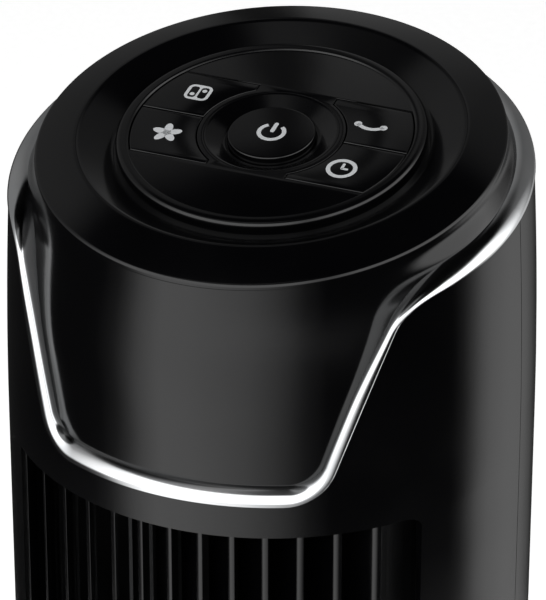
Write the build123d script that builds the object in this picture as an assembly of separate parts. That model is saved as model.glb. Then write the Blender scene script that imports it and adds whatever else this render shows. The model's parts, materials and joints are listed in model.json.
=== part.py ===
from build123d import *
import os
from math import acos, asin, cos, degrees, hypot, pi, radians, sin, sqrt, tan

# Tower fan standing on a round base, front towards -Y, millimetres and degrees.
# The origin is on the floor under the middle of the base.

# Clearances
fit_gap = 0.3           # between pieces that are pushed or dropped together
run_gap = 0.05          # radial play of a shaft or pivot in its bush
face_gap = 0.1          # axial play of a turning face
key_gap = 0.3           # round each key of the control panel
seam_gap = 0.4          # between the front and rear shells

# Column
column_radius = 85.0    # widest radius of the housing
wall = 2.6              # thickness of the moulded shells
foot_inset = 5.0        # how far the housing draws in at its foot
foot_flare = 60.0       # height over which it does so
shoulder_inset = 3.0    # how far the housing draws in at the head
shoulder_rise = 95.0    # height over which it does so
motor_bay = 106.0       # height of the room for the motor
duct_height = 658.0     # height of the room for the wheel
head_bay = 90.0         # from the upper deck to the head's rim on the axis
deck_thickness = 3.0

# Grille
grille_half_width = 70.0
grille_bottom_margin = 13.0     # lower deck to the opening
grille_top_margin = 2.0         # opening to the upper deck
grille_corner = 4.0
blade_pitch = 10.0
blade_thickness = 1.8
blade_depth = 13.0
blade_slant = 36.0      # from the radius, so that the air leaves with the wheel's swirl
blade_bow = 0.7         # rise of the curved blade over its chord
blade_round = 2.8       # rounding of the blade's blunt front corner
brace_count = 4
brace_height = 2.4
brace_width = 3.0

# Rear intake and carrying grip
slot_pitch = 10.0
slot_height = 3.4
slot_columns = 4
slot_span = 32.0        # angle of one slot
slot_post = 6.0         # angle of the upright between slots
slot_bottom_margin = 32.0       # lower deck to the first slot
slot_top_margin = 56.0          # last slot to the upper deck
grip_width = 92.0
grip_height = 34.0
grip_depth = 26.0
grip_corner = 9.0
grip_wall = 2.2
grip_lift = 9.0         # upper deck to the grip

# Head
head_tilt = 9.4         # the head leans to the front
head_setback = 7.8      # head wall inside the housing's surface
head_wall = 2.6
head_tuck = 5.0         # head wall below the line of the trim
crest_width = 12.9      # bevel from the head's edge up to the crest
crest_height = 3.6
trough_width = 10.7     # slope from the crest down to the control panel
trough_depth = 2.4      # trough below the head's edge
ring_edge = 2.0         # thickness of the top ring at the head's edge
ring_wall = 2.4
lip_depth = 3.0         # locating lip inside the head wall
seat_width = 4.1        # ledge that carries the control panel

# Shield line and trim
trim_drop = 9.1         # trim below the head's edge, square to the tilt
trim_height = 3.2
trim_proud = 0.35
trim_gap = 0.15
trim_edge = 1.8         # rounding of the trim's outer upper edge
shield_top_half = 62.8
shield_bottom_half = 43.9
shield_lift = 9.3       # shield's lower edge above the upper deck
shield_top_round = 13.0
shield_bottom_round = 10.0

# Control panel, in heights square to the tilted head
panel_gap = 1.4         # between the trough and the panel
panel_top = 2.2
panel_plate = 2.2
panel_rim = 4.2         # width of the raised rim
rim_rise = 0.5
rim_round = 1.4
panel_wall = 2.0
key_land = 2.6          # between the keys and the dish of the power button
key_front = -22.0       # keys reach from here
key_split = 1.2         # to the line between them
key_back = 23.0         # and on to here
key_inner_edge = 13.0   # least distance of a key from the middle line
key_flange = 1.2
key_flange_height = 1.5
key_travel = 0.7
key_stem_radius = 2.2
key_reach = 30.0        # stem's distance from the middle line
power_radius = 13.9
power_top = 2.0
power_edge = 0.8
dish_width = 6.9        # sloping dish round the power button
dish_depth = 3.1
dish_lip = 1.1
dish_plate = 2.0
board_depth = 11.0      # board below the head's edge
board_thickness = 1.6
board_inset = 3.0
switch_size = 6.0
switch_body = 3.5
switch_plunger = 1.75
switch_height = 4.9
boss_radius = 3.0
boss_across = 12.0
boss_along = 33.0
board_screw_radius = 1.4
board_screw_head = 2.6
board_screw_length = 6.0

# Wheel
wheel_radius = 48.0
wheel_blade_depth = 9.0
wheel_blade_thickness = 1.1
wheel_blade_lead = 8.0  # angle by which a blade's outer edge leads
wheel_blade_bow = 1.0
wheel_blades = 30
wheel_sections = 5
wheel_disc = 2.2
wheel_bottom_margin = 11.0
wheel_top_margin = 15.0
wheel_hub_radius = 9.0
wheel_hub_height = 10.0
shaft_radius = 4.0
panel_clearance = 5.0   # wheel to the scroll and the tongue
duct_wall = 2.0
scroll_start = -150.0   # angles round the wheel, from the front
scroll_end = -63.0
tongue_start = 84.0
tongue_end = 61.0
bush_wall = 6.0
bush_height = 9.0
holder_wall = 4.0

# Motor
motor_radius = 38.0
motor_height = 56.0
motor_round = 5.0
motor_boss_radius = 12.0
motor_boss_height = 3.0
motor_screw_circle = 30.0
screw_radius = 2.0
screw_head_radius = 3.8
screw_head_height = 2.2
screw_length = 8.0
pan_slope = 0.3         # share of a screw head's height that slopes in
motor_screw_count = 3

# Swing drive
tooth_module = 1.5
pressure_angle = 25.0
pinion_teeth = 12
sector_teeth = 48       # of the full circle that the sector belongs to
sector_kept = 15
addendum = 1.3
dedendum = 1.7
backlash = 0.25
gear_height = 8.0
gear_hub_wall = 8.0
pinion_shaft_radius = 3.0
pinion_shaft_grip = 6.0
swing_motor_radius = 14.0
swing_motor_height = 18.0

# Base
base_radius = 150.0
base_wall = 2.8
base_edge = 12.0        # upright edge of the base above its plate
base_edge_round = 3.0
base_height = 40.0
pedestal_radius = 84.0
pedestal_step = 6.0
dome_bulge = 3.0
bowl_radius = 62.0
bowl_depth = 16.0
foot_height = 4.0
foot_radius = 10.0
foot_bevel = 1.5
foot_count = 6
foot_setback = 21.0     # feet in from the edge
plate_thickness = 2.5
ballast_setback = 28.0  # ballast in from the edge
ballast_width = 48.0
ballast_height = 8.0
post_radius = 18.0
post_wall = 5.0
post_rise = 6.0         # post above its nut
hub_wall = 8.0
hub_drop = 6.0          # turntable's hub below the plate
hub_rise = 18.0         # and above it
nut_height = 6.0
nut_wall = 7.0
thrust_width = 10.0
thrust_height = 2.0
turntable_thickness = 4.0
turntable_rim_height = 12.0
turntable_rim_wall = 3.0
base_boss_count = 4
boss_setback = 13.0     # screw posts of the base in from the edge
base_boss_radius = 4.5
notch_width = 24.0      # cord recess at the rear of the base
notch_depth = 13.0
gland_radius = 3.4
gland_bore = 2.6
gland_flange = 1.0
gland_flange_height = 2.0

# Heights that follow
plate_bottom = foot_height
plate_top = plate_bottom + plate_thickness
bowl_floor = base_height - bowl_depth
gland_height = plate_top + fit_gap + gland_radius + gland_flange
notch_top = gland_height + gland_radius + gland_flange + fit_gap
turntable_bottom = base_height + thrust_height + face_gap
column_bottom = turntable_bottom + turntable_thickness
lower_deck_bottom = column_bottom + motor_bay
lower_deck_top = lower_deck_bottom + deck_thickness
upper_deck_bottom = lower_deck_top + duct_height
upper_deck_top = upper_deck_bottom + deck_thickness
head_height = upper_deck_top + head_bay
shield_bottom = upper_deck_top + shield_lift
grille_bottom = lower_deck_top + grille_bottom_margin
grille_top = upper_deck_bottom - grille_top_margin
wheel_bottom = lower_deck_top + wheel_bottom_margin
wheel_top = upper_deck_bottom - wheel_top_margin
shoulder = head_height - shoulder_rise

# Radii that follow
shell_inside = column_radius - wall
deck_radius = shell_inside - fit_gap
head_radius = column_radius - shoulder_inset - head_setback
crest_radius = head_radius - crest_width
trough_radius = crest_radius - trough_width
seat_radius = trough_radius - seat_width
panel_radius = trough_radius - panel_gap
key_outer = panel_radius - panel_rim
dish_radius = power_radius + dish_width
key_inner = dish_radius + key_land
board_radius = key_outer - board_inset
sector_radius = sector_teeth * tooth_module / 2
pinion_radius = pinion_teeth * tooth_module / 2
gear_distance = sector_radius + pinion_radius
reach = 2 * column_radius

# Head frames: rim plane with its normal up, and the plane square to the tilt that looks to the front
lean = radians(head_tilt)
head_plane = Plane((0, 0, head_height), x_dir=(1, 0, 0), z_dir=(0, -sin(lean), cos(lean)))
shield_plane = Plane((0, 0, head_height), x_dir=(1, 0, 0), z_dir=(0, -cos(lean), -sin(lean)))


def polar(radius, angle):
    return (radius * cos(radians(angle)), radius * sin(radians(angle)))


def from_front(radius, angle):
    # Angle counted from the front towards the right-hand side
    return (radius * sin(radians(angle)), -radius * cos(radians(angle)))


def ring(outer, inner, bottom, top):
    return Pos(0, 0, bottom) * extrude(Circle(outer) - Circle(inner), top - bottom)


def disc(radius, bottom, top):
    return Pos(0, 0, bottom) * extrude(Circle(radius), top - bottom)


def lathe(*points):
    return revolve(Plane.XZ * make_face(Polyline(*points, close=True)), Axis.Z)


def column_solid(inset):
    # Solid of the whole column, drawn in all round by the inset
    radius = column_radius - inset
    top = head_height + reach / 4
    flare = column_bottom + foot_flare
    shoulder_bend = (shoulder_rise ** 2 + shoulder_inset ** 2) / (2 * shoulder_inset)
    top_inset = shoulder_bend - sqrt(shoulder_bend ** 2 - (top - shoulder) ** 2)
    foot = TangentArc((radius, flare), (radius - foot_inset, column_bottom), tangent=(0, -1))
    side = Line((radius, flare), (radius, shoulder))
    neck = TangentArc((radius, shoulder), (radius - top_inset, top), tangent=(0, 1))
    lid = Polyline((radius - top_inset, top), (0, top), (0, column_bottom),
                   (radius - foot_inset, column_bottom))
    return revolve(Plane.XZ * make_face([*foot.edges(), *side.edges(), *neck.edges(), *lid.edges()]), Axis.Z)


def half_space(side):
    # Front (-1) or rear (+1) half of the column, short of the seam
    depth = reach
    middle = side * (seam_gap + depth) / 2
    return Pos(0, middle, head_height / 2) * Box(2 * reach, depth, 2 * head_height)


def below_head(depth):
    # Everything lower than a plane that lies under the head's edge
    return head_plane * (Pos(0, 0, -depth - head_height) * Box(2 * reach, 2 * reach, 2 * head_height))


def level_drop(across):
    # Where the shield's level lower edge shows in the view along the tilt
    forward = sqrt(column_radius ** 2 - across ** 2)
    return forward * sin(lean) - (head_height - shield_bottom) * cos(lean)


def shield_face():
    low = level_drop(shield_bottom_half)
    top_left = (-shield_top_half, -trim_drop)
    top_right = (shield_top_half, -trim_drop)
    low_left = (-shield_bottom_half, low)
    low_right = (shield_bottom_half, low)
    upper = Polyline(low_left, top_left, (-reach, -trim_drop), (-reach, reach), (reach, reach),
                     (reach, -trim_drop), top_right, low_right)
    lower = ThreePointArc(low_right, (0, level_drop(0)), low_left)
    face = make_face([*upper.edges(), *lower.edges()])
    near = [v for v in face.vertices() if abs(v.X) < reach / 2]
    face = fillet([v for v in near if v.Y > low / 2], shield_top_round)
    near = [v for v in face.vertices() if abs(abs(v.X) - shield_bottom_half) < 1e-3 and v.Y < low / 2]
    return fillet(near, shield_bottom_round)


def head_room(grow):
    # Room above the shield line, grown outward all along it
    face = offset(shield_face(), grow) if grow else shield_face()
    rear = Pos(0, (reach - trim_drop - grow) / 2) * Rectangle(2 * reach, reach + trim_drop + grow)
    return extrude(shield_plane * face, reach) + extrude(shield_plane * rear, -reach)


def grille_blade(across):
    angle = degrees(asin(across / column_radius))
    turn = radians(angle + blade_slant)
    inward = Vector(-sin(turn), cos(turn))
    sideways = Vector(cos(turn), sin(turn))
    edge = Vector(*from_front(column_radius, angle))
    start = edge - inward * wall
    end = edge + inward * blade_depth
    middle = (start + end) * 0.5 + sideways * blade_bow
    spine = ThreePointArc(start, middle, end)
    outside = Circle(reach) - Circle(column_radius)
    section = (trace(spine, blade_thickness) - outside).face()
    front = [v for v in section.vertices() if hypot(v.X, v.Y) > column_radius - blade_thickness / 2]
    corner = min(front, key=lambda v: v.X * sideways.X + v.Y * sideways.Y)
    section = fillet(corner, blade_round)
    length = grille_top - grille_bottom + wall
    return Pos(0, 0, grille_bottom - wall / 2) * extrude(section, length)


def grille():
    count = int(2 * grille_half_width / blade_pitch + 0.001) - 1
    blades = [grille_blade((index - (count - 1) / 2) * blade_pitch) for index in range(count)]
    inner_edge = column_radius - blade_depth * cos(radians(blade_slant))
    span = degrees(asin(grille_half_width / column_radius))
    arc = CenterArc((0, 0), inner_edge + brace_width / 2, 270 - span, 2 * span)
    brace = extrude(trace(arc, brace_width), brace_height)
    step = (grille_top - grille_bottom) / (brace_count + 1)
    braces = [Pos(0, 0, grille_bottom + step * (index + 1)) * brace for index in range(brace_count)]
    return (Part() + blades + braces) & column_solid(0)


def front_shell():
    shell = (column_solid(0) - column_solid(wall)) & half_space(-1)
    shell -= head_room(trim_height + trim_gap)
    height = grille_top - grille_bottom
    opening = RectangleRounded(2 * grille_half_width, height, grille_corner)
    shell -= extrude(Plane.XZ * (Pos(0, grille_bottom + height / 2) * opening), reach)
    return shell + grille()


def slot_row():
    pitch = slot_span + slot_post
    first = 90 - pitch * (slot_columns - 1) / 2
    middle = column_radius - wall / 2
    arcs = [CenterArc((0, 0), middle, first + pitch * index - slot_span / 2, slot_span)
            for index in range(slot_columns)]
    return [extrude(trace(arc, 4 * wall), slot_height) for arc in arcs]


def grip_outline(grow):
    return RectangleRounded(grip_width + 2 * grow, grip_height + 2 * grow, grip_corner + grow)


def grip_place():
    # Looks to the rear, its origin in the middle of the grip's mouth
    middle = upper_deck_top + grip_lift + grip_height / 2
    return Plane((0, column_radius - grip_depth, middle), x_dir=(-1, 0, 0), z_dir=(0, 1, 0))


def rear_shell():
    shell = (column_solid(0) - column_solid(wall)) & half_space(1)
    shell -= head_room(trim_height + trim_gap)
    bottom = lower_deck_top + slot_bottom_margin
    rows = int((upper_deck_bottom - slot_top_margin - bottom) / slot_pitch)
    cuts = [Pos(0, 0, bottom + slot_pitch * index) * slot for index in range(rows) for slot in slot_row()]
    shell -= cuts
    return shell - extrude(grip_place() * grip_outline(fit_gap), reach)


def handle_cup():
    cup = extrude(grip_place() * grip_outline(0), reach) & column_solid(0)
    pocket = extrude(grip_place().offset(grip_wall) * grip_outline(-grip_wall), reach)
    return cup - pocket


def trim_strip():
    band = head_room(trim_height) - head_room(0)
    strip = (column_solid(-trim_proud) - column_solid(head_setback - fit_gap)) & band
    core = column_solid(0).solid()
    upper = head_room(trim_height / 2).solid()
    outer = [edge for edge in strip.edges() if not core.is_inside(edge @ 0.5)]
    rim = [edge for edge in outer if upper.is_inside(edge @ 0) and upper.is_inside(edge @ 1)]
    return fillet(rim, trim_edge)


def head_shell():
    inner = column_solid(head_setback + head_wall)
    tube = (column_solid(head_setback) - inner) & head_room(head_tuck)
    under_trim = head_room(head_tuck) - head_room(trim_height + trim_gap)
    ledge = (column_solid(wall + fit_gap) - inner) & under_trim
    return (tube + ledge) & below_head(ring_edge)


def top_ring():
    slope = crest_height / crest_width
    far = head_radius + head_wall
    inside = head_radius - head_wall - fit_gap
    floor = -trough_depth
    cap = lathe((seat_radius, floor), (trough_radius, floor), (crest_radius, crest_height),
                (far, -head_wall * slope), (far, -ring_edge), (inside - ring_wall, -ring_edge),
                (crest_radius, crest_height - ring_wall), (trough_radius + ring_wall / 2, floor - ring_wall),
                (seat_radius, floor - ring_wall))
    lip_top = ring_wall / 2 - ring_edge
    lip_bottom = -ring_edge - lip_depth
    lip = lathe((far, lip_top), (far, lip_bottom), (inside - ring_wall, lip_bottom),
                (inside - ring_wall, lip_top))
    socket = column_solid(head_setback + head_wall + fit_gap)
    return (head_plane * cap & column_solid(head_setback)) + (head_plane * lip & socket)


def key_region(side, front, back):
    across = (key_inner_edge + panel_radius) / 2
    width = panel_radius - key_inner_edge
    window = Pos(side * across, (front + back) / 2) * Rectangle(width, back - front)
    return (Circle(key_outer) - Circle(key_inner)) & window


def control_panel():
    rim_top = panel_top + rim_rise
    underside = panel_top - panel_plate
    floor = panel_top - dish_depth
    hole = power_radius + key_gap
    foot = hole + dish_lip
    body = lathe((panel_radius, -trough_depth), (panel_radius, rim_top - rim_round),
                 (panel_radius - rim_round, rim_top), (key_outer + rim_rise, rim_top), (key_outer, panel_top),
                 (dish_radius, panel_top), (foot, floor), (hole, floor), (hole, floor - dish_plate),
                 (foot + dish_plate, floor - dish_plate), (dish_radius + dish_plate, underside),
                 (panel_radius - panel_wall, underside), (panel_radius - panel_wall, -trough_depth))
    openings = [key_region(side, key_front, key_back) for side in (-1, 1)]
    body -= [Pos(0, 0, underside - 1) * extrude(opening, panel_plate + 2) for opening in openings]
    posts = [Pos(x, y, -board_depth) * extrude(Circle(boss_radius), board_depth + underside + panel_plate / 2)
             for x in (-boss_across, boss_across) for y in (-boss_along, boss_along)]
    holes = [Pos(x, y, -board_depth) * extrude(Circle(board_screw_radius + run_gap), board_screw_length)
             for x in (-boss_across, boss_across) for y in (-boss_along, boss_along)]
    return head_plane * (body + posts - holes)


def switch_top():
    return -board_depth + switch_height


def key(side, front, back):
    underside = panel_top - panel_plate
    body = offset(key_region(side, front, back), -key_gap)
    window = Pos(side * key_reach, (front + back) / 2) * Rectangle(reach, back - front - 2 * key_gap)
    window -= Circle(dish_radius + dish_plate + key_gap)
    flange = offset(key_region(side, front, back), key_flange) & window
    flange_top = underside - face_gap
    flange_bottom = flange_top - key_flange_height
    stem_bottom = switch_top() + key_travel + face_gap
    stem = Pos(side * key_reach, (front + back) / 2) * Circle(key_stem_radius)
    solid = Pos(0, 0, flange_bottom) * extrude(body, panel_top - flange_bottom)
    solid += Pos(0, 0, flange_bottom) * extrude(flange, key_flange_height)
    solid += Pos(0, 0, stem_bottom) * extrude(stem, flange_bottom - stem_bottom)
    return head_plane * solid


def power_button():
    flange_top = panel_top - dish_depth - dish_plate - face_gap
    flange_bottom = flange_top - key_flange_height
    stem_bottom = switch_top() + key_travel + face_gap
    flange = power_radius + key_gap + key_flange
    button = lathe((0, stem_bottom), (key_stem_radius, stem_bottom), (key_stem_radius, flange_bottom),
                   (flange, flange_bottom), (flange, flange_top), (power_radius, flange_top),
                   (power_radius, power_top - power_edge), (power_radius - power_edge, power_top),
                   (0, power_top))
    return head_plane * button


def control_board():
    plate = Pos(0, 0, -board_depth - board_thickness) * extrude(Circle(board_radius), board_thickness)
    bore = Circle(board_screw_radius + fit_gap)
    holes = [Pos(x, y, -board_depth - 2 * board_thickness) * extrude(bore, 3 * board_thickness)
             for x in (-boss_across, boss_across) for y in (-boss_along, boss_along)]
    return head_plane * (plate - holes)


def key_places():
    front = (key_front + key_split) / 2
    back = (key_split + key_back) / 2
    return [(0, 0), (-key_reach, front), (-key_reach, back), (key_reach, front), (key_reach, back)]


def board_switches():
    body = extrude(Rectangle(switch_size, switch_size), switch_body)
    plunger = extrude(Circle(switch_plunger), switch_height)
    switch = Pos(0, 0, -board_depth) * (body + plunger)
    return Compound([head_plane * (Pos(x, y) * switch) for x, y in key_places()])


def screw(radius, pan_radius, pan_height, length):
    # Pan-head screw, its head's seat at zero and its shank upwards
    slope = pan_height * pan_slope
    return lathe((0, -pan_height), (pan_radius - 2 * slope, -pan_height), (pan_radius, slope - pan_height),
                 (pan_radius, 0), (radius, 0), (radius, length), (0, length))


def board_screws():
    length = board_thickness + board_screw_length - fit_gap
    fastener = screw(board_screw_radius, board_screw_head, board_thickness, length)
    seat = -board_depth - board_thickness
    return Compound([head_plane * (Pos(x, y, seat) * fastener)
                     for x in (-boss_across, boss_across) for y in (-boss_along, boss_along)])


def wheel_blade():
    inner = Vector(*polar(wheel_radius - wheel_blade_depth, 0))
    outer = Vector(*polar(wheel_radius - wheel_blade_thickness, wheel_blade_lead))
    chord = outer - inner
    side = Vector(chord.Y, -chord.X).normalized()
    spine = ThreePointArc(inner, (inner + outer) * 0.5 + side * wheel_blade_bow, outer)
    return trace(spine, wheel_blade_thickness)


def cross_flow_wheel():
    inner = wheel_radius - wheel_blade_depth - wheel_blade_thickness
    length = wheel_top - wheel_bottom - wheel_disc
    section = length / wheel_sections
    blade = Pos(0, 0, wheel_bottom + wheel_disc / 2) * extrude(wheel_blade(), length)
    step = 360 / wheel_blades
    blades = [Rot(0, 0, step * index) * blade for index in range(wheel_blades)]
    stay = ring(wheel_radius, inner, wheel_bottom, wheel_bottom + wheel_disc)
    rings = [Pos(0, 0, section * index) * stay for index in range(1, wheel_sections)]
    foot = disc(wheel_radius, wheel_bottom, wheel_bottom + wheel_disc)
    hub_top = wheel_bottom + wheel_hub_height
    hub = disc(wheel_hub_radius, wheel_bottom, hub_top)
    bore = disc(shaft_radius, wheel_bottom - wheel_disc, hub_top - wheel_disc)
    cap = disc(wheel_radius, wheel_top - wheel_disc, wheel_top)
    cap_hub = disc(wheel_hub_radius, wheel_top - wheel_hub_height, wheel_top)
    cap_bore = disc(shaft_radius, wheel_top - wheel_hub_height + wheel_disc, wheel_top + wheel_disc)
    return foot + hub + cap + cap_hub + rings + blades - bore - cap_bore


def wheel_pin():
    bottom = wheel_top - wheel_hub_height + wheel_disc
    return disc(shaft_radius, bottom, upper_deck_bottom - face_gap)


def motor_shaft():
    bottom = lower_deck_bottom - motor_height + motor_boss_height
    return disc(shaft_radius, bottom, wheel_bottom + wheel_hub_height - wheel_disc)


def motor_screw_places(piece):
    step = 360 / motor_screw_count
    return [Rot(0, 0, step * index) * (Pos(motor_screw_circle, 0) * piece)
            for index in range(motor_screw_count)]


def fan_motor():
    bottom = lower_deck_bottom - motor_height
    outline = Polyline((0, bottom), (motor_radius, bottom), (motor_radius, lower_deck_bottom),
                       (0, lower_deck_bottom), close=True)
    can = fillet(make_face(outline).vertices().group_by(Axis.X)[-1].sort_by(Axis.Y)[:1], motor_round)
    body = revolve(Plane.XZ * can, Axis.Z)
    body += disc(motor_boss_radius, lower_deck_bottom, lower_deck_bottom + motor_boss_height)
    bore_bottom = bottom + motor_boss_height - face_gap
    body -= disc(shaft_radius + run_gap, bore_bottom, lower_deck_top + motor_boss_height)
    hole = disc(screw_radius + run_gap, lower_deck_bottom - screw_length, lower_deck_top)
    return body - motor_screw_places(hole)


def lower_deck():
    plate = disc(deck_radius, lower_deck_bottom, lower_deck_top)
    plate -= disc(motor_boss_radius + fit_gap, 0, head_height)
    return plate - motor_screw_places(disc(screw_radius + fit_gap, 0, head_height))


def motor_screws():
    length = screw_length + deck_thickness - fit_gap
    fastener = screw(screw_radius, screw_head_radius, screw_head_height, length)
    return Compound(motor_screw_places(Pos(0, 0, lower_deck_top) * (Rot(180, 0, 0) * fastener)))


def upper_deck():
    return disc(deck_radius, upper_deck_bottom, upper_deck_top)


def bearing_holder():
    inner = shaft_radius + bush_wall + run_gap
    return ring(inner + holder_wall, inner, upper_deck_bottom - bush_height, upper_deck_bottom)


def top_bush():
    outer = shaft_radius + bush_wall
    return ring(outer, shaft_radius + run_gap, upper_deck_bottom - bush_height, upper_deck_bottom)


def duct_panel(start, start_radius, end, end_radius):
    middle = (start + end) / 2
    middle_radius = sqrt(start_radius * end_radius)
    spine = ThreePointArc(from_front(start_radius, start), from_front(middle_radius, middle),
                          from_front(end_radius, end))
    bottom = lower_deck_top + face_gap
    return Pos(0, 0, bottom) * extrude(trace(spine, duct_wall), duct_height - 2 * face_gap)


def scroll_panel():
    near = wheel_radius + panel_clearance + duct_wall / 2
    return duct_panel(scroll_start, near, scroll_end, shell_inside - duct_wall)


def tongue_panel():
    near = wheel_radius + panel_clearance + duct_wall / 2
    return duct_panel(tongue_start, near, tongue_end, shell_inside - duct_wall)


def involute(angle):
    return tan(angle) - angle


def tooth(teeth):
    pitch_radius = teeth * tooth_module / 2
    base_circle = pitch_radius * cos(radians(pressure_angle))
    foot = pitch_radius - dedendum - backlash
    start = max(base_circle, pitch_radius - dedendum)
    tip = pitch_radius + addendum
    middle = (start + tip) / 2
    half_pitch = pi / (2 * teeth) - backlash / (4 * pitch_radius) + involute(radians(pressure_angle))

    def flank(radius):
        return degrees(half_pitch - involute(acos(base_circle / radius)))

    right = ThreePointArc(polar(start, -flank(start)), polar(middle, -flank(middle)), polar(tip, -flank(tip)))
    crown = ThreePointArc(polar(tip, -flank(tip)), polar(tip, 0), polar(tip, flank(tip)))
    left = ThreePointArc(polar(tip, flank(tip)), polar(middle, flank(middle)), polar(start, flank(start)))
    root = Polyline(polar(start, flank(start)), polar(foot, flank(start)), polar(foot, -flank(start)),
                    polar(start, -flank(start)))
    return make_face([*right.edges(), *crown.edges(), *left.edges(), *root.edges()])


def swing_gear():
    step = 360 / sector_teeth
    span = step * (sector_kept + 1)
    bore = post_radius + fit_gap
    root = sector_radius - dedendum
    hub_radius = bore + gear_hub_wall
    arc = CenterArc((0, 0), (bore + root) / 2, 90 - span / 2, span)
    outline = Circle(hub_radius) + trace(arc, root - bore)
    teeth = [Rot(0, 0, 90 + step * (index - (sector_kept - 1) / 2)) * tooth(sector_teeth)
             for index in range(sector_kept)]
    outline = outline + teeth - Circle(bore)
    return Pos(0, 0, bowl_floor) * extrude(outline, gear_height)


def swing_pinion():
    step = 360 / pinion_teeth
    teeth = [Rot(0, 0, 90 + step * (index + 0.5)) * tooth(pinion_teeth) for index in range(pinion_teeth)]
    outline = Circle(pinion_radius - dedendum) + teeth
    bottom = bowl_floor + fit_gap
    shaft_top = column_bottom + pinion_shaft_grip
    solid = Pos(0, 0, bottom) * extrude(outline, gear_height)
    solid += disc(pinion_shaft_radius, bottom, shaft_top)
    return Pos(0, gear_distance) * solid


def swing_motor():
    body = disc(swing_motor_radius, column_bottom, column_bottom + swing_motor_height)
    body = fillet(body.edges().group_by(Axis.Z)[-1], turntable_rim_wall / 2)
    body -= disc(pinion_shaft_radius + run_gap, 0, column_bottom + pinion_shaft_grip + face_gap)
    return Pos(0, gear_distance) * body


def turntable():
    radius = column_radius - foot_inset
    bore = post_radius + run_gap
    rim = radius - wall - fit_gap
    plate = disc(radius - fit_gap, turntable_bottom, column_bottom)
    plate += ring(rim, rim - turntable_rim_wall, turntable_bottom, column_bottom + turntable_rim_height)
    plate += disc(bore + hub_wall, turntable_bottom - hub_drop, column_bottom + hub_rise)
    plate -= disc(bore, 0, head_height)
    return plate - Pos(0, gear_distance) * disc(pinion_shaft_radius + fit_gap, 0, head_height)


def thrust_ring():
    outer = column_radius - foot_inset - turntable_rim_wall
    return ring(outer, outer - thrust_width, base_height, base_height + thrust_height)


def pivot_post():
    top = column_bottom + hub_rise + nut_height + post_rise
    return ring(post_radius, post_radius - post_wall, bowl_floor, top)


def pivot_nut():
    bottom = column_bottom + hub_rise + face_gap
    blank = RegularPolygon(post_radius + nut_wall, 6) - Circle(post_radius + run_gap)
    return Pos(0, 0, bottom) * extrude(blank, nut_height)


def base_profile(inset):
    # Half outline of the base, drawn in by a wall thickness
    edge_top = plate_bottom + base_edge
    rim = base_radius - inset
    shoulder_radius = pedestal_radius + pedestal_step
    crown = base_height - inset
    step_height = crown - pedestal_step
    middle = ((rim + shoulder_radius) / 2, (edge_top - inset + step_height) / 2 + dome_bulge)
    dome = ThreePointArc((rim, edge_top - inset), middle, (shoulder_radius - inset, step_height))
    rest = Polyline((shoulder_radius - inset, step_height), (pedestal_radius - inset, crown), (0, crown),
                    (0, plate_bottom), (rim, plate_bottom), (rim, edge_top - inset))
    face = make_face([*dome.edges(), *rest.edges()])
    corner = [v for v in face.vertices() if abs(v.X - rim) < 1e-3 and v.Y > plate_top]
    return fillet(corner, base_edge_round)


def base_solid(inset):
    return revolve(Plane.XZ * base_profile(inset), Axis.Z)


def around(count, radius, piece):
    # Evenly round the base, with none in the middle of its rear
    step = 360 / count
    return [Rot(0, 0, step * (index + 0.5)) * (Pos(0, radius) * piece) for index in range(count)]


def boss_circle():
    return base_radius - boss_setback


def notch_block(grow, top):
    depth = notch_depth + grow
    middle = base_radius - depth / 2 + base_wall
    block = extrude(Rectangle(notch_width + 2 * grow, depth + 2 * base_wall), top - plate_bottom)
    return Pos(0, middle, plate_bottom) * block


def base_cover():
    outer = base_solid(0)
    bowl = disc(bowl_radius, bowl_floor, 2 * base_height)
    bowl_skin = disc(bowl_radius + base_wall, bowl_floor - base_wall, base_height)
    cover = outer - base_solid(base_wall) + bowl_skin - bowl
    cover -= disc(post_radius - post_wall, 0, base_height)
    post = disc(base_boss_radius, plate_top, base_height)
    hole = disc(screw_radius + run_gap, plate_top - 1, plate_top + screw_length)
    skin = base_solid(base_wall / 2)
    cover += [item & skin for item in around(base_boss_count, boss_circle(), post)]
    cover -= around(base_boss_count, boss_circle(), hole)
    cover += notch_block(base_wall, notch_top + base_wall) & skin
    cover -= notch_block(0, notch_top)
    return cover - gland_place() * Cylinder(gland_radius + run_gap, 6 * base_wall)


def gland_place():
    # On the rear recess's wall, looking to the rear
    back = base_radius - notch_depth
    return Plane((0, back, gland_height), x_dir=(-1, 0, 0), z_dir=(0, 1, 0))


def cord_gland():
    flange = gland_radius + gland_flange
    inside = -base_wall - face_gap
    body = lathe((gland_bore, inside - gland_flange_height), (flange, inside - gland_flange_height),
                 (flange, inside), (gland_radius, inside), (gland_radius, face_gap), (flange, face_gap),
                 (flange - gland_flange / 2, gland_flange_height), (gland_bore, gland_flange_height))
    return gland_place() * body


def base_plate():
    plate = disc(base_radius - base_wall - fit_gap, plate_bottom, plate_top)
    hole = disc(screw_radius + fit_gap, 0, base_height)
    plate -= around(base_boss_count, boss_circle(), hole)
    return plate - notch_block(base_wall + fit_gap, base_height)


def base_screws():
    fastener = Pos(0, 0, plate_bottom) * screw(screw_radius, screw_head_radius, screw_head_height,
                                               plate_thickness + screw_length - fit_gap)
    return Compound(around(base_boss_count, boss_circle(), fastener))


def rubber_feet():
    foot = lathe((0, 0), (foot_radius - foot_bevel, 0), (foot_radius, foot_height / 2),
                 (foot_radius, foot_height), (0, foot_height))
    return Compound(around(foot_count, base_radius - foot_setback, foot))


def ballast_ring():
    outer = base_radius - ballast_setback
    return ring(outer, outer - ballast_width, plate_top, plate_top + ballast_height)


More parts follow.
